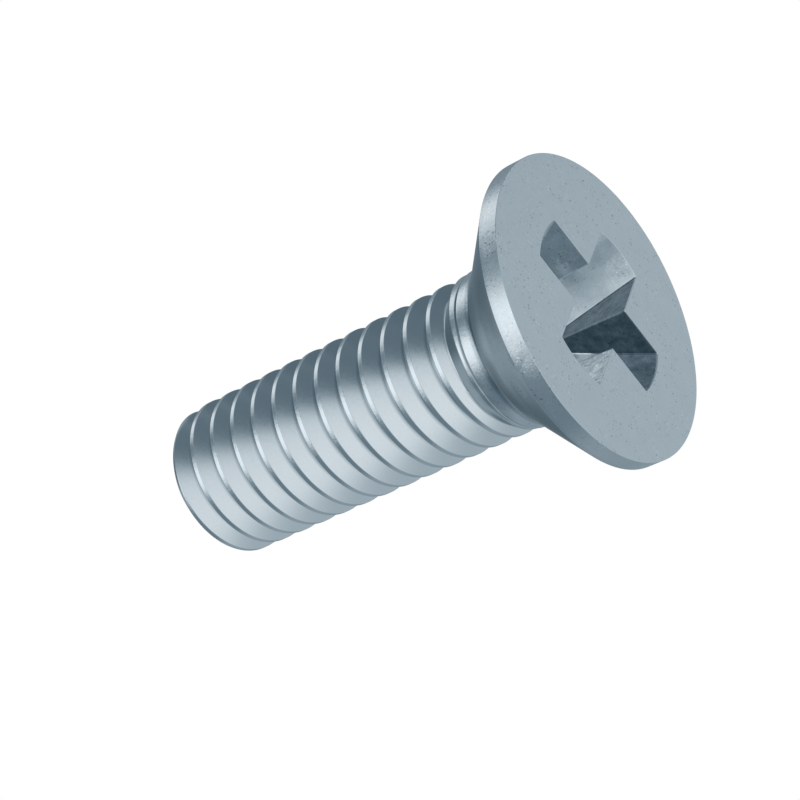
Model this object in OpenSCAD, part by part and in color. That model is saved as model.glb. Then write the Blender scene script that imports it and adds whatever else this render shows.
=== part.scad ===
// Countersunk machine screw with a cross recess, threaded up to the head.
// All lengths are in millimetres. The screw stands on the flat of its head, and Z points along
// the axis to the tip. The origin is the centre of the flat head face.

/* [Overall] */
// Length from the flat head face to the tip
screw_length = 11.86; // [8:0.02:20]

/* [Head] */
// Diameter of the head
head_diameter = 7.5; // [6.5:0.05:8.5]
// Height of the straight rim around the head
rim_height = 0.46; // [0.2:0.01:0.7]
// Angle of the countersink between its two sides, in degrees
countersink_angle = 90; // [80:1:100]
// Rounding of the edge between the head face and the rim
face_edge_radius = 0.02; // [0.02:0.01:0.15]
// Rounding of the edge between the rim and the countersink
rim_edge_radius = 0.02; // [0.02:0.01:0.15]

/* [Neck] */
// Diameter of the plain neck under the countersink
neck_diameter = 3.99; // [3.96:0.01:4.2]
// Radius of the fillet between the countersink and the neck
neck_fillet_radius = 0.2; // [0.1:0.01:0.3]
// Distance from the head face to the fine groove around the neck
neck_groove_height = 2.62; // [2.5:0.01:2.65]
// Depth of the fine groove around the neck
neck_groove_depth = 0.035; // [0.01:0.005:0.06]
// Width of the fine groove around the neck
neck_groove_width = 0.07; // [0.03:0.01:0.1]

/* [Thread] */
// Outer diameter of the thread
thread_diameter = 3.93; // [3.9:0.01:3.95]
// Pitch of the thread
thread_pitch = 0.7; // [0.6:0.01:0.8]
// Depth of the thread from crest to root
thread_depth = 0.42; // [0.3:0.01:0.46]
// Width of the flat along the crest, as a share of the pitch
crest_share = 0.18; // [0.1:0.01:0.25]
// Width of the flat along the root, as a share of the pitch
root_share = 0.12; // [0.08:0.01:0.2]
// Angle around the axis at which the thread begins, in degrees
thread_start_angle = 166.7; // [-180:0.1:180]
// Distance from the head face to the start of the thread's run-out
run_out_height = 2.74; // [2.72:0.01:3.2]
// Lean of the cone under the run-out, in degrees from the axis
run_out_lean = 34; // [20:1:50]
// Straight steps in one turn of the thread
steps_per_turn = 30; // [24:2:40]

/* [Tip] */
// Narrowing of the radius at the end of the tip
tip_bevel_depth = 0.07; // [0.03:0.01:0.3]
// Length of the bevel at the tip
tip_bevel_length = 0.1; // [0.05:0.01:0.4]

/* [Cross recess] */
// Diameter across the wings at the head face
recess_diameter = 4.4; // [3.8:0.05:4.8]
// Width of a wing at the head face
wing_width = 1.44; // [1.2:0.02:1.6]
// Inward lean of the wing sides, in degrees
wing_side_lean = 1.5; // [0:0.1:4]
// Inward lean of the wing ends, in degrees
wing_end_lean = 26.5; // [24:0.5:30]
// Diameter at which the wing ends meet the blunt bottom
bottom_diameter = 2.29; // [1.8:0.01:2.5]
// Fall of the blunt bottom to its middle, in degrees from flat
bottom_fall = 20; // [5:1:30]
// Turn of the recess about the axis, in degrees
recess_turn = -25.9; // [-45:0.1:45]

/* [Hidden] */
$fn = 96;
head_radius = head_diameter / 2;
neck_radius = neck_diameter / 2;
thread_radius = thread_diameter / 2;
recess_radius = recess_diameter / 2;
bottom_radius = bottom_diameter / 2;
// Rise of the countersink for each unit that its radius shrinks
countersink_rise = 1 / tan(countersink_angle / 2);
// Height at which the countersink would meet the axis
apex_height = rim_height + head_radius * countersink_rise;
// Centre of the fillet circle, which touches both the countersink and the neck
fillet_turn = 90 - countersink_angle / 2;
fillet_centre_radius = neck_radius + neck_fillet_radius;
fillet_centre_height = apex_height - fillet_centre_radius * countersink_rise
    + neck_fillet_radius / sin(countersink_angle / 2);
fillet_touch_radius = fillet_centre_radius - neck_fillet_radius * sin(fillet_turn);
fillet_touch_height = fillet_centre_height - neck_fillet_radius * cos(fillet_turn);
// Centre of the circle that rounds the edge between the rim and the countersink
rim_edge_centre_radius = head_radius - rim_edge_radius;
rim_edge_centre_height = apex_height - rim_edge_centre_radius * countersink_rise
    - rim_edge_radius / sin(countersink_angle / 2);
rim_edge_touch_radius = rim_edge_centre_radius + rim_edge_radius * sin(fillet_turn);
rim_edge_touch_height = rim_edge_centre_height + rim_edge_radius * cos(fillet_turn);
// Heights between which the neck narrows to the thread diameter
neck_taper_start = neck_groove_height - neck_groove_width / 2;
neck_taper_end = neck_groove_height + neck_groove_width / 2;
// Half widths of the groove at the crest and at the root
half_mouth = thread_pitch * (1 - crest_share) / 2;
half_root = thread_pitch * root_share / 2;
// Stand-off of the groove's open side from the crest, and its half width there
mouth_share = 0.7;
mouth_over = mouth_share * (thread_pitch / 2 - half_mouth) * thread_depth / (half_mouth - half_root);
half_open = half_mouth + mouth_share * (thread_pitch / 2 - half_mouth);
open_radius = thread_radius + mouth_over;
// Height of the groove's middle where its upper edge reaches the run-out
thread_start_height = run_out_height - half_mouth;
// Steps of the groove: a few below the run-out, and enough to carry it past the tip
lead_steps = 3;
thread_turns = (screw_length + thread_pitch - thread_start_height) / thread_pitch;
last_step = ceil(thread_turns * steps_per_turn);
// Corners of the groove's section
corner_count = 4;
// Height at which the cone under the run-out would meet the axis
run_out_apex_height = run_out_height + thread_radius / tan(run_out_lean);
// Depth of the recess where the blunt bottom begins, and at its middle
bottom_height = (recess_radius - bottom_radius) / tan(wing_end_lean);
recess_depth = bottom_height + bottom_radius * tan(bottom_fall);
// Reach of the recess cutter below the head face
recess_over = rim_height / 2;

// Half of the section through the head, the neck and the cone under the thread's run-out
module head_section() {
    difference() {
        polygon([
            [0, 0],
            [head_radius - face_edge_radius, 0],
            [head_radius - face_edge_radius, face_edge_radius],
            [head_radius, face_edge_radius],
            [head_radius, rim_edge_centre_height],
            [rim_edge_centre_radius, rim_edge_centre_height],
            [rim_edge_touch_radius, rim_edge_touch_height],
            [fillet_touch_radius, fillet_touch_height],
            [fillet_centre_radius, fillet_centre_height],
            [neck_radius, fillet_centre_height],
            [neck_radius, neck_taper_start],
            [thread_radius, neck_taper_end],
            [thread_radius, run_out_height],
            [0, run_out_apex_height]
        ]);
        translate([fillet_centre_radius, fillet_centre_height])
            circle(r = neck_fillet_radius);
        neck_groove_section();
    }
    translate([head_radius - face_edge_radius, face_edge_radius])
        circle(r = face_edge_radius);
    translate([rim_edge_centre_radius, rim_edge_centre_height])
        circle(r = rim_edge_radius);
}

// Half of the section through the shank before the thread is cut, with the bevel of the tip
module shank_section() {
    polygon([
        [0, run_out_height],
        [thread_radius, run_out_height],
        [thread_radius, screw_length - tip_bevel_length],
        [thread_radius - tip_bevel_depth, screw_length],
        [0, screw_length]
    ]);
}

// Section of the fine groove around the neck
module neck_groove_section() {
    translate([thread_radius - neck_groove_depth, neck_groove_height])
        polygon([
            [0, 0],
            [neck_groove_depth * 2, -neck_groove_width],
            [neck_groove_depth * 2, neck_groove_width]
        ]);
}

// One corner of the groove's section, carried along the helix
function groove_corner(step, radius, offset) =
    let (turns = step / steps_per_turn)
    [
        radius * cos(thread_start_angle + 360 * turns),
        radius * sin(thread_start_angle + 360 * turns),
        thread_start_height + thread_pitch * turns + offset
    ];

// The corners of the groove's section after a number of steps
function groove_corners(step) = [
    groove_corner(step, thread_radius - thread_depth, -half_root),
    groove_corner(step, thread_radius - thread_depth, half_root),
    groove_corner(step, open_radius, half_open),
    groove_corner(step, open_radius, -half_open)
];

// Helical groove of a right-hand thread
module thread_groove() {
    corners = [for (step = [-lead_steps : last_step]) each groove_corners(step)];
    last_corner = len(corners) - 1;
    sides = [
        for (start = [0 : corner_count : last_corner - corner_count])
            for (side = [0 : corner_count - 1])
                let (
                    a = start + side,
                    b = start + (side + 1) % corner_count
                )
                each [[a, b + corner_count, b], [a, a + corner_count, b + corner_count]]
    ];
    first_end = [for (side = [0 : corner_count - 1]) side];
    last_end = [for (side = [0 : corner_count - 1]) last_corner - side];
    polyhedron(points = corners, faces = concat(sides, [first_end, last_end]), convexity = 10);
}

// Shank with its thread
module threaded_shank() {
    difference() {
        rotate_extrude()
            shank_section();
        thread_groove();
    }
}

// Prism across two opposite wings, narrowing toward the tip
module wing_pair() {
    half_top = wing_width / 2 + recess_over * tan(wing_side_lean);
    half_bottom = wing_width / 2 - recess_depth * tan(wing_side_lean);
    rotate([90, 0, 90])
        linear_extrude(height = recess_diameter * 2, center = true)
            polygon([
                [-half_top, -recess_over],
                [half_top, -recess_over],
                [half_bottom, recess_depth],
                [-half_bottom, recess_depth]
            ]);
}

// Cross recess: four wings held inside the cone of their ends and the blunt bottom
module cross_recess() {
    rotate([0, 0, recess_turn])
        intersection() {
            union() {
                wing_pair();
                rotate([0, 0, 90])
                    wing_pair();
            }
            rotate_extrude()
                polygon([
                    [0, -recess_over],
                    [recess_radius + recess_over * tan(wing_end_lean), -recess_over],
                    [bottom_radius, bottom_height],
                    [0, recess_depth]
                ]);
        }
}

// The whole screw
module countersunk_screw() {
    color("lightsteelblue")
        difference() {
            union() {
                rotate_extrude()
                    head_section();
                threaded_shank();
            }
            cross_recess();
        }
}

countersunk_screw();
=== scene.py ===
"""Countersunk machine screw with a cross recess, dressed for rendering.

The screw stands on its flat head, with its axis along Z and its tip up. The main camera looks up at
the head face, so the floor shows only to cameras above it. Sizes are in millimetres until a vertex
or a place is handed to Blender, which works in metres.
"""
import math

import bpy
import numpy as np
from mathutils import Matrix, Vector


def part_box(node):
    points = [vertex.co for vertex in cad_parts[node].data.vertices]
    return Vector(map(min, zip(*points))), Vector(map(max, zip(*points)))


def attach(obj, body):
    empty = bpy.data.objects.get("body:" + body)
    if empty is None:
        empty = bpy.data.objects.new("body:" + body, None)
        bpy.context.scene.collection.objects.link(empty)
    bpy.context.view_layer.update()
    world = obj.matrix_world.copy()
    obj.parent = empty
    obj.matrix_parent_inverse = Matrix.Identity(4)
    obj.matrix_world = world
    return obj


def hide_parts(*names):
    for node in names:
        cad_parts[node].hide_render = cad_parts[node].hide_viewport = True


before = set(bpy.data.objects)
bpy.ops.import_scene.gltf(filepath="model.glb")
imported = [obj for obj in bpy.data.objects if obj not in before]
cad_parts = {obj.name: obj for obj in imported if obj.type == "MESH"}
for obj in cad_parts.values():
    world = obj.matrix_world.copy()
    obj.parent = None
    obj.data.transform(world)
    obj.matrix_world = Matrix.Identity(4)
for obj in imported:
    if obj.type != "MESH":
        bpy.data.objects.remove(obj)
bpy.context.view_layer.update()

MM = 0.001
NODE = "countersunk_screw"

# Overall sizes, taken from the frame
node_low, node_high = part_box(NODE)
HEAD_RADIUS = (node_high.x - node_low.x) / 2 / MM
SCREW_LENGTH = (node_high.z - node_low.z) / MM

# Head
RIM_HEIGHT = 0.46
# Lean of the countersink from the axis, in degrees
COUNTERSINK_LEAN = 45
FACE_EDGE_RADIUS = 0.006
RIM_EDGE_RADIUS = 0.02

# Neck
NECK_RADIUS = 1.995
NECK_FILLET_RADIUS = 0.2
NECK_TOP = 2.67
NECK_GROOVE_HEIGHT = 2.62
NECK_GROOVE_DEPTH = 0.035
NECK_GROOVE_WIDTH = 0.07
# Rounded section of the neck groove, as steps outward and toward the tip: from its edge nearer the
# tip, from its bottom, and from its edge nearer the head
GROOVE_TIP_EDGE = ((0.0, 0.012), (-0.002, 0.004), (-0.008, -0.004))
GROOVE_BOTTOM = ((0.006, 0.012), (0.0, 0.0), (0.008, -0.012))
GROOVE_HEAD_EDGE = ((-0.014, 0.004), (-0.006, -0.006), (-0.001, -0.02), (0.0, -0.05))

# Thread
THREAD_RADIUS = 1.965
PITCH = 0.7
THREAD_DEPTH = 0.42
CREST_SHARE = 0.18
ROOT_SHARE = 0.12
THREAD_START_ANGLE = math.radians(166.7)
RUN_OUT_HEIGHT = 2.74
RUN_OUT_LEAN = math.radians(34)
CREST_ROUNDING = 0.02
ROOT_ROUNDING = 0.04
HALF_MOUTH = PITCH * (1 - CREST_SHARE) / 2
HALF_ROOT = PITCH * ROOT_SHARE / 2
FLANK_SLOPE = THREAD_DEPTH / (HALF_MOUTH - HALF_ROOT)

# Tip
TIP_BEVEL_DEPTH = 0.07
TIP_BEVEL_LENGTH = 0.1
TIP_ROUNDING = 0.03
TIP_DISH = 0.035

# Cross recess
RECESS_RADIUS = 2.2
WING_HALF_WIDTH = 0.72
WING_SIDE_LEAN = math.radians(1.5)
WING_END_LEAN = math.radians(26.5)
BOTTOM_RADIUS = 1.145
BOTTOM_FALL = math.radians(20)
RECESS_TURN = math.radians(-25.9)
RECESS_EDGE_RADIUS = 0.006
RECESS_CORNER_ROUNDING = 0.05
WING_ROOT_ROUNDING = 0.05
BOTTOM_DEPTH = (RECESS_RADIUS - BOTTOM_RADIUS) / math.tan(WING_END_LEAN)
RECESS_DEPTH = BOTTOM_DEPTH + BOTTOM_RADIUS * math.tan(BOTTOM_FALL)

# Mesh density: columns around the axis and, in a quarter, steps on a wing's end and one of its sides
COLUMNS = 180
WING_END_STEPS = 17
WING_SIDE_STEPS = 14
# Half of the widest angle that a wing's end takes up at the bottom, and the least radius there
WIDEST_END = math.radians(38)
LEAST_RADIUS = 0.02
# Least sine with which a wing's wall is followed out, where it runs along the direction looked in
LEAST_SINE = 1e-3
# Share of a pitch at which the rows of one thread turn lie, measured from a crest toward the tip
ROW_SHARES = (
    0.0, 0.05, 0.07, 0.08, 0.09, 0.1, 0.115, 0.18, 0.26, 0.34, 0.4, 0.42, 0.435, 0.455, 0.48, 0.52,
    0.545, 0.565, 0.58, 0.6, 0.64, 0.68, 0.72, 0.76, 0.8, 0.84, 0.885, 0.9, 0.91, 0.92, 0.93, 0.95,
)
# Turns of rows beyond each end of the shank, and how near to its ends a row is moved onto them
SPARE_TURNS = 3
SNAP = PITCH / 150
# A row follows the line in which the groove's wall meets the cone of the run-out, over these turns
# and between these depths
RUN_OUT_TURNS = 3
LEAST_RUN_OUT_DEPTH = 0.01
MOST_RUN_OUT_DEPTH = THREAD_DEPTH - 0.005
# Heights of the loops over the neck's fillet
NECK_LOOPS = (0.06, 0.01)
# Steps along the rounded edges, and shares of a surface's length at which its loops lie
FILLET_STEPS = 8
EDGE_STEPS = 6
COUNTERSINK_SHARES = (0.01, 0.03, 0.1, 0.25, 0.4, 0.55, 0.7, 0.85, 0.96, 0.99)
RIM_SHARES = (0.02, 0.1, 0.35, 0.65, 0.9, 0.98)
FACE_SHARES = (0.25, 0.5, 0.75, 1.0)
BOTTOM_SHARES = (0.03, 0.15, 0.3, 0.5, 0.7, 0.85)
WALL_LEVELS = 14
# Distance from a rounded edge of the loop that keeps its neighbouring surface flat
FACE_EDGE_SUPPORT = 0.02
MOUTH_SUPPORT = 0.015
WALL_SUPPORT = 0.02
# Turns, in degrees, of the loops around the rounded mouth of the recess
MOUTH_TURNS = (22.5, 45, 67.5, 90)
# Loops of the dished end of the tip: share of its radius and depth
TIP_LOOPS = ((0.985, 0.006), (0.96, 0.01), (0.9, 0.012), (0.7, 0.02), (0.4, 0.03), (0.15, 0.034))

# Camera, fitted to the photo: place, right, up and backward direction, lens and sensor
CAMERA_PLACE = (0.0172, 43.4985, -23.2453)
CAMERA_RIGHT = (0.42171, -0.50595, -0.75244)
CAMERA_UP = (-0.90673, -0.23531, -0.34995)
CAMERA_BACK = (0.0, 0.82984, -0.55801)
LENS = 98.21
SENSOR = 36.0
CLIP_START = 1.0

# Floor: half its side, how far it lies under the head face, its colour and its own glow
FLOOR_HALF = 250.0
FLOOR_DROP = 0.01
FLOOR_COLOR = (0.97, 0.92, 0.88, 1)
FLOOR_GLOW = 0.57
FLOOR_ROUGHNESS = 0.9
FLOOR_SPECULAR = 0.1

# Powers that give red, green and blue from a brightness under 1: the darker, the bluer
TONES = (1.14, 0.967, 0.877)

# Studio surroundings: a white background with soft oval cards before it, each laid over the ones
# ahead of it. A card has azimuth and elevation of its middle and its reach sideways and up, all in
# degrees, the share of its reach that is even, and its brightness. Azimuth 0 is along -Y, 90 along +X.
WHITE = 1.0
CARDS = (
    ("above", 0, 80, 110, 115, 0.8, 0.13),
    ("right", 35, -20, 150, 75, 0.2, 0.55),
    ("right_up", 95, 55, 95, 45, 0.8, 0.4),
    ("right_dark", 155, 5, 30, 30, 0.35, 0.01),
    ("right_low", 130, -25, 35, 30, 0.55, 0.4),
    ("left_middle", -75, -10, 40, 30, 0.5, 0.4),
    ("left_far", -105, -10, 35, 65, 0.8, 0.4),
    ("left_low", -65, -45, 55, 25, 0.55, 0.2),
    ("left_up", 10, 45, 25, 15, 0.4, 0.15),
    ("left_strip", -70, 35, 35, 30, 0.2, 1.05),
    ("front_gap", 140, 45, 45, 50, 0.55, 0.25),
    ("front", 175, -40, 55, 90, 0.15, 0.8),
    ("front_high", -160, 35, 35, 50, 0.15, 1.25),
    ("nadir", 75, -80, 30, 35, 0.15, 1.05),
    ("dark_left", -30, -10, 20, 40, 0.75, 0.18),
    ("left_gap", -115, 40, 15, 40, 0.1, 0.25),
    ("left_corner", -40, 35, 30, 20, 0.25, 0.3),
    ("front_low", 30, 25, 60, 20, 0.2, 0.35),
)

# Zinc plating, as the red, green and blue that it mirrors, and its brightest shade
PLATING = (0.612, 0.685, 0.734)
BRIGHTEST = 1.36
# Places on the screw and the reach of each, in millimetres, where the plating is rough, with painted
# glints
ROUGH_PLACES = (
    (-2.2, 3.05, 0.25, 0.55),
    (0.25, 3.74, 0.40, 0.28),
    (0.62, 3.69, 0.12, 0.32),
    (1.05, 0.55, 0.5, 0.75),
    (-1.25, -0.18, 0.45, 0.5),
    (-0.6, -2.0, 0.2, 0.35),
    (1.0, 3.0, 1.1, 0.4),
)
# Places of painted shade (under 1) or a painted highlight (over 1): middle and reach, and the shade in
# the middle
PAINTED_LIGHT_PLACES = (
    (1.7, 2.8, 0.95, 1.5, 0.66),
    (0.95, 2.05, 1.9, 0.7, 0.68),
    (0.35, 2.3, 1.9, 0.45, 0.65),
    (0.6, 2.0, 2.15, 0.35, 0.75),
    (-0.4, 2.5, 1.68, 0.55, 1.36),
    (-1.25, 3.05, 0.9, 0.9, 0.76),
    (-0.6, 3.45, 0.7, 0.5, 0.8),
    (0.4, 1.95, 2.72, 0.25, 0.8),
    (0.9, 1.75, 2.72, 0.3, 0.8),
    (1.4, 1.4, 2.72, 0.35, 0.8),
    (0.85, -1.05, 1.65, 0.3, 1.36),
    (1.8, -1.0, 0.2, 0.7, 0.7),
    (-1.0, -1.35, 1.15, 0.35, 0.72),
    (-0.4, -1.65, 1.0, 0.6, 0.82),
    (-1.1, -0.27, 0.62, 0.25, 1.36),
    (1.05, 0.6, 0.4, 0.7, 1.1),
)
# Share of a place's reach over which it is even
ROUGH_CORE = 0.35
PAINTED_LIGHT_CORE = 0.3
# Painted shade: change of the shade on each part of the screw that plating_masks or recess_masks names
PAINTED_PART_SHADES = {
    "cone": -0.08,
    "crease": -0.28,
    "groove": -0.55,
    "root": -0.35,
    "recess": -0.05,
    "near_wing": -0.10,
    "far_end": -0.5,
    "sides": -0.69,
    "side_edge": -0.35,
}
# The distance from the axis plus this share of the height is even along a wing's end
END_SLOPE = 0.5
# Directions along the wings A and C and across them, leaning with the wings' sides
ALONG_WING = (math.cos(RECESS_TURN), math.sin(RECESS_TURN), WING_SIDE_LEAN)
ACROSS_WING = (-math.sin(RECESS_TURN), math.cos(RECESS_TURN), -WING_SIDE_LEAN)
# Limits, in millimetres, between which the masks fade. Heights over the head face:
HEAD_END = (2.2, 2.8)
SHANK_START = (2.75, 2.85)
CREASE_START = (1.55, 2.05)
CREASE_END = (2.3, 2.36)
CONE_END = (2.2, 2.3)
GROOVE_START = (2.58, 2.6)
GROOVE_END = (2.64, 2.66)
FACE_END = (0.01, 0.04)
DEEP_START = (1.2, 1.4)
# Distances from the axis:
ROOT_END = (1.56, 1.63)
CREST_START = (1.94, 1.955)
CREST_END = (2.0, 2.05)
RIM_START = (3.7, 3.735)
# Sum of the distance from the axis and the height, or of the distance and its share of END_SLOPE:
CONE_START = (4.1, 4.18)
RECESS_END = (2.25, 2.3)
WING_END_START = (2.08, 2.2)
# Places along and across the wings A and C:
FAR_WING_START = (0.695, 0.705)
NEAR_WING_END = (-0.8, -0.6)
FAR_END_LIMIT = (0.45, 0.68)
# Place across the wings of the limit of the far wing's side, near the mouth and deep in the recess
SIDE_LIMITS = (-0.69, -0.71)
# Noise textures: waves in a millimetre, detail and roughness
MOTTLE_NOISE = (1.5, 5, 0.65)
STAIN_NOISE = (4, 4, 0.7)
GROUP_NOISE = (1.3, 3, 0.6)
FACET_NOISE = (6, 4, 0.8)
GRAIN_NOISE = (14, 3, 0.6)
# Range of each noise that is used, and of the groups of specks
MOTTLE_RANGE = (0.3, 0.7)
STAIN_RANGE = (0.35, 0.65)
GROUP_RANGE = (0.42, 0.58)
GRAIN_RANGE = (0.3, 0.7)
GROUPS = (0.1, 1)
# Strength of the mottle on the head and in the recess, and of the stains in a wing
HEAD_MOTTLE = 0.025
RECESS_MOTTLE = 0.14
STAINS = 0.3
# Specks: how many in a millimetre, the shares of their spacing at which one is full and gone, the
# range of their strengths, and how strong they are on the head and, as painted glints, where rough
SPECK_SCALE = 15
SPECK_EDGE = (0.2, 0.5)
SPECK_STRENGTHS = (-1, 0.8)
FAINT_SPECKS = 0.5
FAINT_POWER = 3.0
STRONG_SPECKS_AND_GLINTS = 0.42
# Painted glints: how much lighter the specks are on the whole where the plating is rough
PAINTED_GLINT_LIGHT = 0.12
# Roughness of the plating between the grain's hollows and tops, and its change on the thread's
# crests and where the plating is rough
ROUGHNESS = (0.19, 0.27)
CREST_ROUGHNESS = -0.06
ROUGH_ROUGHNESS = 0.06
# Height of the facets on the crests and in the rough places and of the grain on the shank, all as
# shares of the grain on the head, and the bump that the relief makes
CREST_FACETS = 3.0
ROUGH_FACETS = 6.0
SHANK_GRAIN = 0.25
BUMP_STRENGTH = 0.12
BUMP_DISTANCE = 0.02


def soft_min(a, b, width):
    """The smaller of two arrays, with a round transition of that width."""
    blend = np.maximum(width - np.abs(a - b), 0) / width
    return np.minimum(a, b) - blend * blend * width / 4


def soft_max(a, b, width):
    """The larger of two arrays, with a round transition of that width."""
    return -soft_min(-a, -b, width)


def arc(centre, radius, start, end, steps):
    """Points on a circle in the (radius, height) half plane, angles in degrees."""
    return [
        (centre[0] + radius * math.cos(math.radians(t)), centre[1] + radius * math.sin(math.radians(t)))
        for t in np.linspace(start, end, steps + 1)
    ]


def between(start, end, shares):
    """Points at these shares of the way from one point to another."""
    return [tuple(np.array(start) * (1 - share) + np.array(end) * share) for share in shares]


def moved(radius, height, steps):
    """(radius, height) points at these steps outward and toward the tip from one point."""
    return [(radius + outward, height + up) for outward, up in steps]


def groove_height(angle):
    """Height of the thread groove's middle at this angle, in the turn that starts at the run-out."""
    return RUN_OUT_HEIGHT - HALF_MOUTH + PITCH * (angle - THREAD_START_ANGLE) / (2 * math.pi)


def run_out_line(angle):
    """Heights at which a groove's wall nearer the tip meets the cone under the run-out."""
    mouth = groove_height(angle) + HALF_MOUTH + PITCH * np.arange(RUN_OUT_TURNS)
    cone_slope = math.tan(RUN_OUT_LEAN)
    height = (mouth * FLANK_SLOPE + RUN_OUT_HEIGHT * cone_slope) / (FLANK_SLOPE + cone_slope)
    depth = (height - RUN_OUT_HEIGHT) * cone_slope
    return height[(depth > LEAST_RUN_OUT_DEPTH) & (depth < MOST_RUN_OUT_DEPTH)]


def thread_surface(angle, height):
    """Radius of the threaded shank at this angle and these heights."""
    turns = (height - groove_height(angle)) / PITCH
    offset = np.abs(turns - np.round(turns)) * PITCH
    wall = THREAD_RADIUS - THREAD_DEPTH + (offset - HALF_ROOT) * FLANK_SLOPE
    radius = soft_max(THREAD_RADIUS - THREAD_DEPTH, wall, ROOT_ROUNDING)
    cone = THREAD_RADIUS - (height - RUN_OUT_HEIGHT) * math.tan(RUN_OUT_LEAN)
    radius = soft_max(radius, cone, CREST_ROUNDING)
    radius = soft_min(THREAD_RADIUS, radius, CREST_ROUNDING)
    past_bevel = (height - (SCREW_LENGTH - TIP_BEVEL_LENGTH)) / TIP_BEVEL_LENGTH
    bevel = THREAD_RADIUS - TIP_BEVEL_DEPTH * past_bevel
    return soft_min(radius, bevel, TIP_ROUNDING)


def groove_profile():
    """(radius, height) points of the fine groove around the neck, from its edge nearer the tip."""
    bottom = THREAD_RADIUS - NECK_GROOVE_DEPTH
    points = moved(THREAD_RADIUS, NECK_GROOVE_HEIGHT + NECK_GROOVE_WIDTH / 2, GROOVE_TIP_EDGE)
    points += moved(bottom, NECK_GROOVE_HEIGHT, GROOVE_BOTTOM)
    points += moved(NECK_RADIUS, NECK_GROOVE_HEIGHT - NECK_GROOVE_WIDTH / 2, GROOVE_HEAD_EDGE)
    return points


def head_profile():
    """(radius, height) points from the top of the neck down to the edge of the head face."""
    apex = RIM_HEIGHT + HEAD_RADIUS
    sine = math.sin(math.radians(COUNTERSINK_LEAN))
    fillet_radius = NECK_RADIUS + NECK_FILLET_RADIUS
    fillet_height = apex - fillet_radius + NECK_FILLET_RADIUS / sine
    rim_radius = HEAD_RADIUS - RIM_EDGE_RADIUS
    rim_height = apex - rim_radius - RIM_EDGE_RADIUS / sine
    neck = [(NECK_RADIUS, fillet_height + loop) for loop in NECK_LOOPS]
    fillet_end = 180 + COUNTERSINK_LEAN
    fillet = arc((fillet_radius, fillet_height), NECK_FILLET_RADIUS, 180, fillet_end, FILLET_STEPS)
    rim_edge = arc((rim_radius, rim_height), RIM_EDGE_RADIUS, COUNTERSINK_LEAN, 0, EDGE_STEPS)
    face_centre = (HEAD_RADIUS - FACE_EDGE_RADIUS, FACE_EDGE_RADIUS)
    face_edge = arc(face_centre, FACE_EDGE_RADIUS, 0, -90, EDGE_STEPS)
    countersink = between(fillet[-1], rim_edge[0], COUNTERSINK_SHARES)
    rim = between(rim_edge[-1], face_edge[0], RIM_SHARES)
    return groove_profile() + neck + fillet + countersink + rim_edge + rim + face_edge


def eased(steps):
    """Shares from 0 to 1 that crowd together at both ends."""
    return (1 - np.cos(np.linspace(0, math.pi, steps + 1))) / 2


def recess_angles(wing_radius, half_width):
    """Angles of the outline's points, closer together at the corners of the wings."""
    corner = math.asin(min(half_width / wing_radius, math.sin(WIDEST_END)))
    end = -corner + 2 * corner * eased(WING_END_STEPS)
    side = corner + (math.pi / 4 - corner) * eased(WING_SIDE_STEPS)
    quarter = np.concatenate([end[:-1], side[:-1], math.pi / 2 - side[::-1][:-1]])
    return np.concatenate([quarter + k * math.pi / 2 for k in range(4)])


def recess_outline(depth, growth=0.0):
    """(x, y) points of the cross at this depth under the head face, grown outward."""
    half_width = WING_HALF_WIDTH - depth * math.tan(WING_SIDE_LEAN) + growth
    if depth <= BOTTOM_DEPTH:
        wing_radius = RECESS_RADIUS - depth * math.tan(WING_END_LEAN) + growth
    else:
        wing_radius = BOTTOM_RADIUS - (depth - BOTTOM_DEPTH) / math.tan(BOTTOM_FALL)
    wing_radius = max(wing_radius, LEAST_RADIUS)
    angle = recess_angles(wing_radius, half_width)
    sine = np.maximum(np.abs(np.sin(angle)), LEAST_SINE)
    cosine = np.maximum(np.abs(np.cos(angle)), LEAST_SINE)
    walls = soft_max(half_width / sine, half_width / cosine, WING_ROOT_ROUNDING)
    rounding = min(RECESS_CORNER_ROUNDING, wing_radius / 4)
    radius = soft_min(wing_radius, walls, rounding)
    turned = angle + RECESS_TURN
    return np.stack([radius * np.cos(turned), radius * np.sin(turned)], 1)


def recess_levels():
    """Depths of the recess's loops, from under its rounded mouth to near the middle of its bottom."""
    wall = BOTTOM_DEPTH - RECESS_EDGE_RADIUS
    levels = [RECESS_EDGE_RADIUS + WALL_SUPPORT]
    levels += [RECESS_EDGE_RADIUS + wall * s for s in np.linspace(0, 1, WALL_LEVELS + 1)[1:]]
    levels += [BOTTOM_DEPTH + (RECESS_DEPTH - BOTTOM_DEPTH) * s for s in BOTTOM_SHARES]
    return levels


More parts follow.
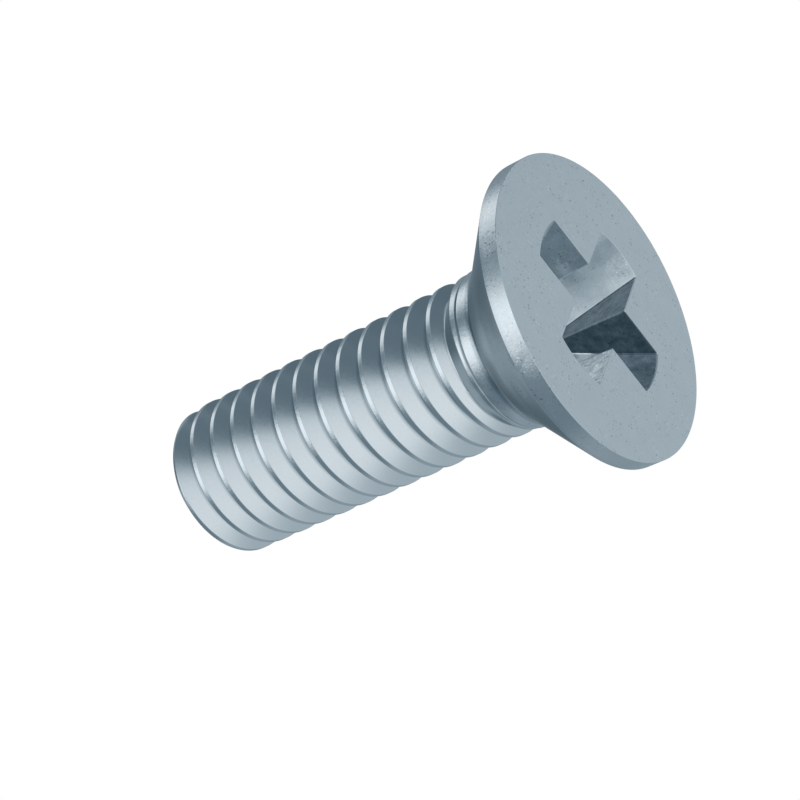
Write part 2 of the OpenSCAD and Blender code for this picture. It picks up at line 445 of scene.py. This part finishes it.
class ScrewMesh:
    """Vertices and faces of one closed mesh, whose loops around the axis share their columns."""

    def __init__(self):
        first = recess_angles(RECESS_RADIUS, WING_HALF_WIDTH)[0]
        self.angles = RECESS_TURN + first + 2 * math.pi * np.arange(COLUMNS) / COLUMNS
        self.vertices = []
        self.faces = []

    def circle(self, radius):
        """(x, y) points of a circle about the axis, one in each column."""
        return np.stack([radius * np.cos(self.angles), radius * np.sin(self.angles)], 1)

    def add_loop(self, points, height):
        """Adds a closed loop of points and returns their numbers."""
        start = len(self.vertices)
        self.vertices.extend((x, y, height) for x, y in points)
        return list(range(start, start + len(points)))

    def bridge(self, upper, lower):
        """Faces between two loops, the upper one nearer the middle of the tip along the surface."""
        for c in range(COLUMNS):
            d = (c + 1) % COLUMNS
            self.faces.append((lower[c], lower[d], upper[d], upper[c]))

    def carry_on(self, edge, points, height):
        """Adds a loop further from the tip along the surface, joins it to the edge and returns it."""
        loop = self.add_loop(points, height)
        self.bridge(edge, loop)
        return loop

    def cap(self, edge, height, upward):
        """Closes a loop with a fan to a point on the axis."""
        centre = len(self.vertices)
        self.vertices.append((0.0, 0.0, height))
        for c in range(COLUMNS):
            d = (c + 1) % COLUMNS
            self.faces.append((edge[c], edge[d], centre) if upward else (edge[d], edge[c], centre))


def add_thread_points(screw):
    """Points of the threaded shank. Returns their numbers by column and by row along the helix."""
    turns = range(-SPARE_TURNS, int(SCREW_LENGTH / PITCH) + SPARE_TURNS)
    row_heights = np.array([PITCH * (turn + share) for turn in turns for share in ROW_SHARES])
    grid = np.zeros((COLUMNS, len(row_heights)), int)
    for column, angle in enumerate(screw.angles):
        heights = row_heights + groove_height(angle) + PITCH / 2
        for line in run_out_line(angle):
            heights[np.abs(heights - line).argmin()] = line
        heights = np.where(heights < NECK_TOP + SNAP, NECK_TOP, heights)
        heights = np.where(heights > SCREW_LENGTH - SNAP, SCREW_LENGTH, heights)
        radii = thread_surface(angle, heights)
        last_height = -math.inf
        for row, (height, radius) in enumerate(zip(heights, radii)):
            if height > last_height:
                screw.vertices.append((radius * math.cos(angle), radius * math.sin(angle), height))
            grid[column, row] = len(screw.vertices) - 1
            last_height = height
    return grid


def add_thread_faces(screw, grid):
    """Faces of the threaded shank. Its last column meets the first one a turn further on."""
    last_row = grid.shape[1] - 1
    for column in range(COLUMNS):
        neighbour = (column + 1) % COLUMNS
        shift = len(ROW_SHARES) if neighbour == 0 else 0
        for row in range(-shift, last_row):
            corners = [
                grid[column, max(row, 0)],
                grid[neighbour, min(row + shift, last_row)],
                grid[neighbour, min(row + 1 + shift, last_row)],
                grid[column, max(row + 1, 0)],
            ]
            unique = [v for k, v in enumerate(corners) if v != corners[k - 1]]
            if len(set(unique)) >= 3:
                screw.faces.append(tuple(int(v) for v in unique))


def add_tip_end(screw, edge):
    """End face of the tip, very slightly dished."""
    outline = np.array([screw.vertices[v][:2] for v in edge])
    for share, dish in TIP_LOOPS:
        loop = screw.add_loop(outline * share, SCREW_LENGTH - dish)
        screw.bridge(loop, edge)
        edge = loop
    screw.cap(edge, SCREW_LENGTH - TIP_DISH, True)


def add_head(screw, edge):
    """Neck, countersink and rim, down to the rounded edge of the head face."""
    for radius, height in head_profile():
        edge = screw.carry_on(edge, screw.circle(radius), height)
    return edge


def add_head_face(screw, edge):
    """Flat head face, from its round edge in to the mouth of the recess."""
    flat_radius = HEAD_RADIUS - FACE_EDGE_RADIUS
    edge = screw.carry_on(edge, screw.circle(flat_radius - FACE_EDGE_SUPPORT), 0.0)
    near_mouth = recess_outline(0, RECESS_EDGE_RADIUS + MOUTH_SUPPORT)
    for share in FACE_SHARES:
        points = screw.circle(flat_radius) * (1 - share) + near_mouth * share
        edge = screw.carry_on(edge, points, 0.0)
    return screw.carry_on(edge, recess_outline(0, RECESS_EDGE_RADIUS), 0.0)


def add_recess(screw, edge):
    """Cross recess: rounded mouth, walls and blunt bottom."""
    for turn in MOUTH_TURNS:
        growth = RECESS_EDGE_RADIUS * (1 - math.sin(math.radians(turn)))
        depth = RECESS_EDGE_RADIUS * (1 - math.cos(math.radians(turn)))
        edge = screw.carry_on(edge, recess_outline(depth, growth), depth)
    for depth in recess_levels():
        edge = screw.carry_on(edge, recess_outline(depth), depth)
    screw.cap(edge, RECESS_DEPTH, False)


def add_object(name, vertices, faces):
    """A mesh object in the scene, from points in millimetres."""
    mesh = bpy.data.meshes.new(name)
    mesh.from_pydata([tuple(MM * x for x in v) for v in vertices], [], faces)
    mesh.validate()
    mesh.update()
    created = bpy.data.objects.new(name, mesh)
    bpy.context.scene.collection.objects.link(created)
    return created


def build_screw():
    """One closed mesh: tip, threaded shank, neck, head and recess, all on the same columns."""
    screw = ScrewMesh()
    grid = add_thread_points(screw)
    add_thread_faces(screw, grid)
    add_tip_end(screw, [int(v) for v in grid[:, -1]])
    edge = add_head(screw, [int(v) for v in grid[:, 0]])
    edge = add_head_face(screw, edge)
    add_recess(screw, edge)
    body = add_object("screw_body", screw.vertices, screw.faces)
    body.data.shade_smooth()
    return body


def new_material(name):
    """A node material, its tree, its shader and its output."""
    material = bpy.data.materials.new(name)
    material.use_nodes = True
    nodes = material.node_tree.nodes
    nodes.clear()
    output = nodes.new("ShaderNodeOutputMaterial")
    shader = nodes.new("ShaderNodeBsdfPrincipled")
    material.node_tree.links.new(shader.outputs["BSDF"], output.inputs["Surface"])
    return material, material.node_tree, shader, output


def feed(tree, socket, value):
    """Sets a socket to a number, or links another socket to it."""
    if isinstance(value, (int, float)):
        socket.default_value = value
    else:
        tree.links.new(value, socket)


def noise(tree, coordinates, scale, detail, roughness):
    """A noise texture in the object's own space."""
    node = tree.nodes.new("ShaderNodeTexNoise")
    node.inputs["Scale"].default_value = scale
    node.inputs["Detail"].default_value = detail
    node.inputs["Roughness"].default_value = roughness
    tree.links.new(coordinates, node.inputs["Vector"])
    return node.outputs["Fac"]


def voronoi(tree, coordinates, scale):
    """Distance to the nearest of many scattered points, and that point's random colour."""
    node = tree.nodes.new("ShaderNodeTexVoronoi")
    node.feature = "F1"
    node.inputs["Scale"].default_value = scale
    node.inputs["Randomness"].default_value = 1.0
    tree.links.new(coordinates, node.inputs["Vector"])
    return node.outputs["Distance"], node.outputs["Color"]


def remap(tree, value, low, high, to_low, to_high, shape="LINEAR"):
    """Change of a value's range, clamped."""
    node = tree.nodes.new("ShaderNodeMapRange")
    node.interpolation_type = shape
    node.inputs["From Min"].default_value = low
    node.inputs["From Max"].default_value = high
    node.inputs["To Min"].default_value = to_low
    node.inputs["To Max"].default_value = to_high
    tree.links.new(value, node.inputs["Value"])
    return node.outputs["Result"]


def rises(tree, value, low, high):
    """0 under the first limit, 1 over the second."""
    return remap(tree, value, low, high, 0, 1)


def falls(tree, value, low, high):
    """1 under the first limit, 0 over the second."""
    return remap(tree, value, low, high, 1, 0)


def math_node(tree, operation, *values):
    """A sum, product or the like of sockets and numbers."""
    node = tree.nodes.new("ShaderNodeMath")
    node.operation = operation
    for socket, value in zip(node.inputs, values):
        feed(tree, socket, value)
    return node.outputs["Value"]


def multiply(tree, *values):
    """Product of two sockets or numbers."""
    return math_node(tree, "MULTIPLY", *values)


def multiply_add(tree, *values):
    """Product of the first two of three sockets or numbers, plus the third."""
    return math_node(tree, "MULTIPLY_ADD", *values)


def band(tree, value, start, end):
    """1 between two pairs of limits, falling to 0 outside them."""
    return multiply(tree, rises(tree, value, *start), falls(tree, value, *end))


def vector_node(tree, operation, first, second=(0, 0, 0)):
    """A product, distance, length or the like of a vector socket and a constant vector."""
    node = tree.nodes.new("ShaderNodeVectorMath")
    node.operation = operation
    tree.links.new(first, node.inputs[0])
    node.inputs[1].default_value = second
    return node.outputs["Vector" if operation == "MULTIPLY" else "Value"]


def toned_color(tree, brightness, factors):
    """A colour from a brightness, by a power and a factor for each channel."""
    node = tree.nodes.new("ShaderNodeCombineColor")
    for socket, power, factor in zip(node.inputs, TONES, factors):
        tone = math_node(tree, "POWER", brightness, power)
        feed(tree, socket, multiply(tree, tone, factor))
    return node.outputs["Color"]


def plating_masks(tree, position):
    """Masks of the screw's parts by name, and of all but the flat face and all but the rim."""
    height = vector_node(tree, "DOT_PRODUCT", position, (0, 0, 1))
    radius = vector_node(tree, "LENGTH", vector_node(tree, "MULTIPLY", position, (1, 1, 0)))
    shank = rises(tree, height, *SHANK_START)
    on_cone = rises(tree, math_node(tree, "ADD", radius, height), *CONE_START)
    masks = {
        "head": falls(tree, height, *HEAD_END),
        "root": multiply(tree, shank, falls(tree, radius, *ROOT_END)),
        "crest": band(tree, radius, CREST_START, CREST_END),
        "crease": band(tree, height, CREASE_START, CREASE_END),
        "cone": multiply(tree, on_cone, falls(tree, height, *CONE_END)),
        "groove": band(tree, height, GROOVE_START, GROOVE_END),
        "off_face": rises(tree, height, *FACE_END),
        "off_rim": falls(tree, radius, *RIM_START),
    }
    masks.update(recess_masks(tree, position, height, radius, masks["off_face"]))
    return masks


def recess_masks(tree, position, height, radius, off_face):
    """Masks in the recess: all of it, the near wing, and the far wing with its end and its side."""
    along = vector_node(tree, "DOT_PRODUCT", position, ALONG_WING)
    across = vector_node(tree, "DOT_PRODUCT", position, ACROSS_WING)
    to_end = multiply_add(tree, height, END_SLOPE, radius)
    recess = multiply(tree, falls(tree, to_end, *RECESS_END), off_face)
    far_wing = multiply(tree, recess, rises(tree, along, *FAR_WING_START))
    side_limit = remap(tree, height, *DEEP_START, *SIDE_LIMITS)
    sides = multiply(tree, far_wing, math_node(tree, "LESS_THAN", across, side_limit))
    far_end = math_node(tree, "SUBTRACT", far_wing, sides)
    far_end = multiply(tree, far_end, falls(tree, across, *FAR_END_LIMIT))
    return {
        "recess": recess,
        "near_wing": multiply(tree, recess, falls(tree, along, *NEAR_WING_END)),
        "far_wing": far_wing,
        "far_end": multiply(tree, far_end, falls(tree, height, *DEEP_START)),
        "sides": sides,
        "side_edge": multiply(tree, sides, rises(tree, to_end, *WING_END_START)),
    }


def plating_shade_and_painted_light(tree, position, masks):
    """Shade of the plating: mottle, stains, painted shade on the screw's parts and painted light at
    single places.
    """
    cloud = remap(tree, noise(tree, position, *MOTTLE_NOISE), *MOTTLE_RANGE, -1, 1)
    mottle = multiply(tree, masks["head"], HEAD_MOTTLE)
    mottle = multiply_add(tree, masks["recess"], RECESS_MOTTLE, mottle)
    shade = multiply_add(tree, cloud, mottle, 1.0)
    stains = remap(tree, noise(tree, position, *STAIN_NOISE), *STAIN_RANGE, -STAINS, STAINS)
    shade = multiply_add(tree, stains, masks["far_wing"], shade)
    # Painted shade: the countersink's cone, the neck's crease and groove, the thread's roots and the
    # recess are darkened in the colour
    for name, change in PAINTED_PART_SHADES.items():
        shade = multiply(tree, shade, multiply_add(tree, masks[name], change, 1.0))
    allowed = multiply(tree, masks["off_face"], masks["off_rim"])
    # Painted shade and painted highlights: single places darkened or lightened in the colour by their
    # shade
    for x, y, z, reach, middle in PAINTED_LIGHT_PLACES:
        distance = vector_node(tree, "DISTANCE", position, (x, y, z))
        change = remap(tree, distance, PAINTED_LIGHT_CORE * reach, reach, middle - 1, 0)
        change = multiply(tree, change, allowed)
        shade = multiply(tree, shade, math_node(tree, "ADD", change, 1.0))
    return shade


def rough_places(tree, position):
    """1 in the middle of each rough place, falling softly to 0 at its reach."""
    total = 0.0
    for x, y, z, reach in ROUGH_PLACES:
        distance = vector_node(tree, "DISTANCE", position, (x, y, z))
        near = falls(tree, distance, ROUGH_CORE * reach, reach)
        total = math_node(tree, "MAXIMUM", near, total)
    return total


def plating_specks_and_glints(tree, position, head, rough):
    """Specks, each darker or brighter by its own share: faint groups on the head, strong where rough,
    there mostly painted glints.
    """
    distance, random_color = voronoi(tree, position, SPECK_SCALE)
    spot = falls(tree, distance, *SPECK_EDGE)
    pick = vector_node(tree, "DOT_PRODUCT", random_color, (1, 0, 0))
    pick = remap(tree, pick, 0, 1, *SPECK_STRENGTHS)
    groups = remap(tree, noise(tree, position, *GROUP_NOISE), *GROUP_RANGE, *GROUPS)
    faint = multiply(tree, groups, multiply(tree, head, FAINT_SPECKS))
    faint = multiply(tree, faint, math_node(tree, "POWER", pick, FAINT_POWER))
    # Where rough, strong specks that are lighter on the whole: painted glints
    strong = multiply(tree, rough, multiply_add(tree, pick, STRONG_SPECKS_AND_GLINTS, PAINTED_GLINT_LIGHT))
    speck = multiply(tree, spot, math_node(tree, "ADD", faint, strong))
    return math_node(tree, "ADD", speck, 1.0)


def plating_relief(tree, position, grain, masks, rough):
    """Relief of the plating: fine grain everywhere, and small facets on the crests and where rough."""
    facets = noise(tree, position, *FACET_NOISE)
    uneven = multiply_add(tree, rough, ROUGH_FACETS, multiply(tree, masks["crest"], CREST_FACETS))
    relief = multiply(tree, facets, uneven)
    grain_height = remap(tree, masks["head"], 0, 1, SHANK_GRAIN, 1)
    relief = math_node(tree, "ADD", relief, multiply(tree, grain, grain_height))
    bump = tree.nodes.new("ShaderNodeBump")
    bump.inputs["Strength"].default_value = BUMP_STRENGTH
    bump.inputs["Distance"].default_value = BUMP_DISTANCE * MM
    tree.links.new(relief, bump.inputs["Height"])
    return bump.outputs["Normal"]


def zinc_plated_steel():
    """Bright zinc plating: clean on the thread, finely speckled on the head, with painted shade in two
    wings.
    """
    material, tree, shader, _ = new_material("zinc_plated_steel")
    coordinates = tree.nodes.new("ShaderNodeTexCoord").outputs["Object"]
    position = vector_node(tree, "MULTIPLY", coordinates, (1 / MM, 1 / MM, 1 / MM))
    masks = plating_masks(tree, position)
    rough = rough_places(tree, position)
    shade = plating_shade_and_painted_light(tree, position, masks)
    shade = multiply(tree, shade, plating_specks_and_glints(tree, position, masks["head"], rough))
    shade = math_node(tree, "MINIMUM", shade, BRIGHTEST)
    grain = noise(tree, position, *GRAIN_NOISE)
    roughness = remap(tree, grain, *GRAIN_RANGE, *ROUGHNESS)
    roughness = multiply_add(tree, masks["crest"], CREST_ROUGHNESS, roughness)
    roughness = multiply_add(tree, rough, ROUGH_ROUGHNESS, roughness)
    normal = plating_relief(tree, position, grain, masks, rough)
    tree.links.new(toned_color(tree, shade, PLATING), shader.inputs["Base Color"])
    tree.links.new(roughness, shader.inputs["Roughness"])
    tree.links.new(normal, shader.inputs["Normal"])
    shader.inputs["Metallic"].default_value = 1.0
    return material


def card_axes(azimuth, elevation):
    """Outward, sideways and upward direction of a card's middle, as the columns of a matrix."""
    a, e = math.radians(azimuth), math.radians(elevation)
    outward = Vector((math.sin(a) * math.cos(e), -math.cos(a) * math.cos(e), math.sin(e)))
    sideways = Vector((math.cos(a), math.sin(a), 0))
    return Matrix((outward, sideways, outward.cross(sideways))).transposed()


def card_mask(tree, direction, name, axes, width, height, core):
    """1 on the even part of a card, falling softly to 0 at its reach."""
    reach = [2 * math.sin(math.radians(angle) / 2) for angle in (width, height)]
    place = tree.nodes.new("ShaderNodeMapping")
    place.label = name
    place.vector_type = "TEXTURE"
    place.inputs["Location"].default_value = axes.col[0]
    place.inputs["Rotation"].default_value = axes.to_euler()
    place.inputs["Scale"].default_value = (max(reach), *reach)
    tree.links.new(direction, place.inputs["Vector"])
    distance = vector_node(tree, "LENGTH", place.outputs["Vector"])
    return remap(tree, distance, 1, core, 0, 1, "SMOOTHSTEP")


def studio_world():
    """The white background and the cards before it, which the camera looks through."""
    world = bpy.data.worlds.new("studio")
    bpy.context.scene.world = world
    world.use_nodes = True
    tree = world.node_tree
    tree.nodes.clear()
    direction = tree.nodes.new("ShaderNodeTexCoord").outputs["Generated"]
    camera_ray = tree.nodes.new("ShaderNodeLightPath").outputs["Is Camera Ray"]
    other_ray = math_node(tree, "SUBTRACT", 1.0, camera_ray)
    brightness = WHITE
    for name, azimuth, elevation, width, height, core, value in CARDS:
        mask = card_mask(tree, direction, name, card_axes(azimuth, elevation), width, height, core)
        laid = tree.nodes.new("ShaderNodeMix")
        feed(tree, laid.inputs["Factor"], multiply(tree, mask, other_ray))
        feed(tree, laid.inputs["A"], brightness)
        feed(tree, laid.inputs["B"], value)
        brightness = laid.outputs["Result"]
    toned = math_node(tree, "MINIMUM", brightness, 1.0)
    over_white = math_node(tree, "MAXIMUM", brightness, 1.0)
    color = toned_color(tree, toned, (over_white, over_white, over_white))
    background = tree.nodes.new("ShaderNodeBackground")
    output = tree.nodes.new("ShaderNodeOutputWorld")
    tree.links.new(color, background.inputs["Color"])
    tree.links.new(background.outputs["Background"], output.inputs["Surface"])


def pale_floor_material():
    """A pale matt surface with its own glow on its upper side, clear from below."""
    material, tree, shader, output = new_material("pale_floor")
    shader.inputs["Base Color"].default_value = FLOOR_COLOR
    shader.inputs["Roughness"].default_value = FLOOR_ROUGHNESS
    shader.inputs["Specular IOR Level"].default_value = FLOOR_SPECULAR
    shader.inputs["Emission Color"].default_value = (1, 1, 1, 1)
    shader.inputs["Emission Strength"].default_value = FLOOR_GLOW
    clear = tree.nodes.new("ShaderNodeBsdfTransparent")
    side = tree.nodes.new("ShaderNodeNewGeometry")
    choice = tree.nodes.new("ShaderNodeMixShader")
    tree.links.new(side.outputs["Backfacing"], choice.inputs["Fac"])
    tree.links.new(shader.outputs["BSDF"], choice.inputs[1])
    tree.links.new(clear.outputs["BSDF"], choice.inputs[2])
    tree.links.new(choice.outputs["Shader"], output.inputs["Surface"])
    return material


def add_floor():
    """A plain floor just under the head face, which only the camera sees, and only from above."""
    sides = ((-1, -1), (1, -1), (1, 1), (-1, 1))
    corners = [(x * FLOOR_HALF, y * FLOOR_HALF, -FLOOR_DROP) for x, y in sides]
    floor = add_object("floor", corners, [(0, 1, 2, 3)])
    floor.data.materials.append(pale_floor_material())
    floor.visible_diffuse = False
    floor.visible_glossy = False
    floor.visible_transmission = False
    floor.visible_shadow = False


def add_camera():
    """The camera at the photo's place and angle."""
    data = bpy.data.cameras.new("camera")
    data.lens = LENS
    data.sensor_width = SENSOR
    data.clip_start = CLIP_START * MM
    camera = bpy.data.objects.new("camera", data)
    bpy.context.scene.collection.objects.link(camera)
    axes = Matrix((CAMERA_RIGHT, CAMERA_UP, CAMERA_BACK)).transposed()
    camera.matrix_world = Matrix.Translation(Vector(CAMERA_PLACE) * MM) @ axes.to_4x4()
    bpy.context.scene.camera = camera


def main():
    """Builds the screw, its surroundings and the camera."""
    body = build_screw()
    body.data.materials.append(zinc_plated_steel())
    body.visible_glossy = False
    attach(body, "root")
    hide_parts(NODE)
    studio_world()
    add_floor()
    add_camera()
    bpy.context.scene.view_settings.view_transform = "Standard"


main()
